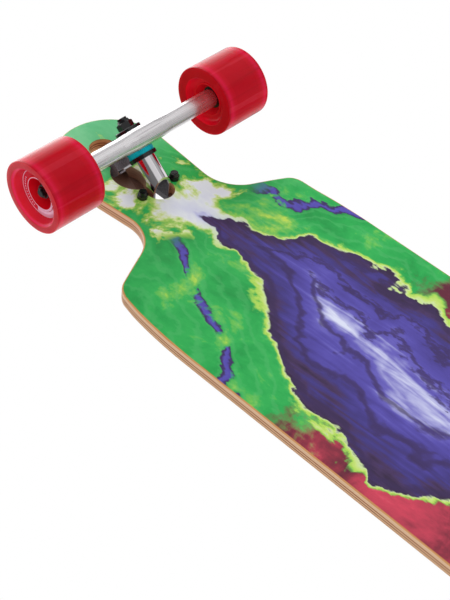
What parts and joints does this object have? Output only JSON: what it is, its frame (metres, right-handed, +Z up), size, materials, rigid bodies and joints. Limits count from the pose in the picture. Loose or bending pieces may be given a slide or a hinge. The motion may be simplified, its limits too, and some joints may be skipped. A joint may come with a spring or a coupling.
{
  "type": "longboard skateboard",
  "caption": "Drop-through longboard: a necked plywood deck with raised sides on steering trucks with reversed kingpins, bushings, free-turning urethane wheels and ball bearings.",
  "frame": {"origin": "on the floor, below the middle of the board, which stands on its wheels", "axes": "+X along the board towards the end called front, +Y along the axles to the left, +Z up"},
  "size_m": [1.016, 0.267, 0.1062],
  "materials": {
    "maple_plywood": "varnished, printed underside",
    "grip_tape": "gritty black",
    "cast_aluminium": "polished",
    "black_urethane": "matte",
    "teal_urethane": "satin",
    "black_steel": "black oxide",
    "bright_steel": "ground",
    "ball_steel": "polished",
    "black_seal": "satin",
    "red_urethane": "glossy, slightly translucent",
    "red_core": "glossy"
  },
  "bodies": {
    "board": {"deck": "maple_plywood", "grip_tape": "grip_tape", "front_baseplate": "cast_aluminium", "front_pivot_cup": "black_urethane", "front_kingpin": "black_steel", "front_kingpin_nut": "black_steel", "front_boardside_washer": "black_steel", "front_boardside_bushing": "teal_urethane", "front_roadside_bushing": "teal_urethane", "front_roadside_washer": "black_steel", "front_mounting_bolts": "black_steel", "front_mounting_nuts": "black_steel", "rear_baseplate": "cast_aluminium", "rear_pivot_cup": "black_urethane", "rear_kingpin": "black_steel", "rear_kingpin_nut": "black_steel", "rear_boardside_washer": "black_steel", "rear_boardside_bushing": "teal_urethane", "rear_roadside_bushing": "teal_urethane", "rear_roadside_washer": "black_steel", "rear_mounting_bolts": "black_steel", "rear_mounting_nuts": "black_steel"},
    "front_truck_hanger": {"front_hanger": "cast_aluminium", "front_axle": "bright_steel", "front_axle_nuts": "black_steel", "front_speed_washers": "bright_steel", "front_left_bearing_inner_races": "bright_steel", "front_left_bearing_spacer": "bright_steel", "front_right_bearing_inner_races": "bright_steel", "front_right_bearing_spacer": "bright_steel"},
    "front_left_wheel": {"front_left_tyre": "red_urethane", "front_left_wheel_core": "red_core", "front_left_bearing_outer_races": "bright_steel", "front_left_bearing_balls": "ball_steel", "front_left_bearing_shields": "black_seal"},
    "front_right_wheel": {"front_right_tyre": "red_urethane", "front_right_wheel_core": "red_core", "front_right_bearing_outer_races": "bright_steel", "front_right_bearing_balls": "ball_steel", "front_right_bearing_shields": "black_seal"},
    "rear_truck_hanger": {"rear_hanger": "cast_aluminium", "rear_axle": "bright_steel", "rear_axle_nuts": "black_steel", "rear_speed_washers": "bright_steel", "rear_left_bearing_inner_races": "bright_steel", "rear_left_bearing_spacer": "bright_steel", "rear_right_bearing_inner_races": "bright_steel", "rear_right_bearing_spacer": "bright_steel"},
    "rear_left_wheel": {"rear_left_tyre": "red_urethane", "rear_left_wheel_core": "red_core", "rear_left_bearing_outer_races": "bright_steel", "rear_left_bearing_balls": "ball_steel", "rear_left_bearing_shields": "black_seal"},
    "rear_right_wheel": {"rear_right_tyre": "red_urethane", "rear_right_wheel_core": "red_core", "rear_right_bearing_outer_races": "bright_steel", "rear_right_bearing_balls": "ball_steel", "rear_right_bearing_shields": "black_seal"}
  },
  "joints": [
    {"name": "front_steer", "type": "hinge", "parent": "board", "child": "front_truck_hanger", "pos_m": [0.42189, 0, 0.04917], "axis": [-0.6428, 0, -0.766], "range_deg": [-15, 15], "stiffness_Nm_per_rad": 35, "deforming": ["front_boardside_bushing", "front_roadside_bushing"]},
    {"name": "front_left_wheel_spin", "type": "hinge", "parent": "front_truck_hanger", "child": "front_left_wheel", "pos_m": [0.41, 0.103, 0.035], "axis": [0, 1, 0], "continuous": true},
    {"name": "front_right_wheel_spin", "type": "hinge", "parent": "front_truck_hanger", "child": "front_right_wheel", "pos_m": [0.41, -0.103, 0.035], "axis": [0, 1, 0], "continuous": true},
    {"name": "rear_steer", "type": "hinge", "parent": "board", "child": "rear_truck_hanger", "pos_m": [-0.42189, 0, 0.04917], "axis": [0.6428, 0, -0.766], "range_deg": [-15, 15], "stiffness_Nm_per_rad": 35, "deforming": ["rear_boardside_bushing", "rear_roadside_bushing"]},
    {"name": "rear_left_wheel_spin", "type": "hinge", "parent": "rear_truck_hanger", "child": "rear_left_wheel", "pos_m": [-0.41, 0.103, 0.035], "axis": [0, 1, 0], "continuous": true},
    {"name": "rear_right_wheel_spin", "type": "hinge", "parent": "rear_truck_hanger", "child": "rear_right_wheel", "pos_m": [-0.41, -0.103, 0.035], "axis": [0, 1, 0], "continuous": true}
  ]
}
